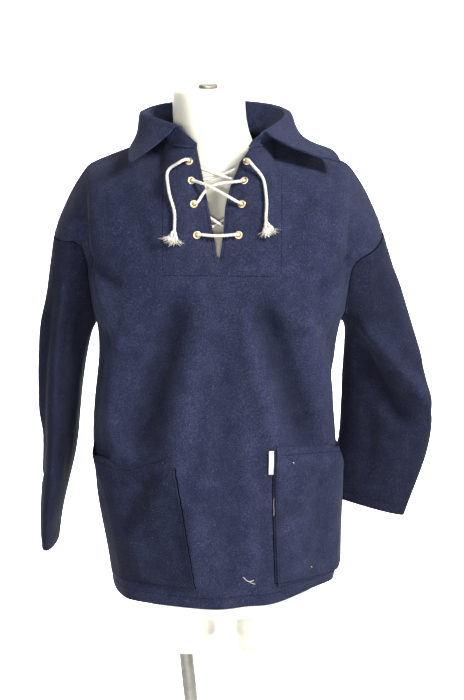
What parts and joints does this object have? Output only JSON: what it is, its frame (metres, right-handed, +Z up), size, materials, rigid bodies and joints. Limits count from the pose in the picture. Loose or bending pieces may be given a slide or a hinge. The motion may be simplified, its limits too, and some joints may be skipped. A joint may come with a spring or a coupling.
{
  "type": "lace-up wool shirt on a dress form",
  "caption": "Dark navy wool pull-over shirt with a laced neck slit, flat spread collar and two patch pockets, worn by a headless white dress form on a pole stand",
  "frame": {"origin": "on the floor, at the centre of the underside of the round base", "axes": "+Z up; the laced front faces -Y; +X is the wearer's left, the right side of the picture"},
  "size_m": [0.691, 0.38, 1.606],
  "materials": {
    "navy_wool": "matte fulled wool twill",
    "white_satin": "smooth satin white",
    "aged_brass": "dulled, rolled rims",
    "cream_cotton": "twisted cotton cord",
    "brushed_steel": "brushed",
    "dark_bronze": "dark patina",
    "white_tape": "plain woven tape, bare"
  },
  "bodies": {
    "root": {"back": "navy_wool", "base": "brushed_steel", "collar": "navy_wool", "eyelet_left_1": "aged_brass", "eyelet_left_2": "aged_brass", "eyelet_left_3": "aged_brass", "eyelet_left_4": "aged_brass", "eyelet_right_1": "aged_brass", "eyelet_right_2": "aged_brass", "eyelet_right_3": "aged_brass", "eyelet_right_4": "aged_brass", "facing": "navy_wool", "form": "white_satin", "front": "navy_wool", "knot_left": "cream_cotton", "knot_right": "cream_cotton", "label": "white_tape", "lace_end_left": "cream_cotton", "lace_end_right": "cream_cotton", "lacing": "cream_cotton", "neck_fitting": "dark_bronze", "pocket_left": "navy_wool", "pocket_right": "navy_wool", "pole": "brushed_steel", "sleeve_left": "navy_wool", "sleeve_right": "navy_wool"}
  },
  "joints": []
}
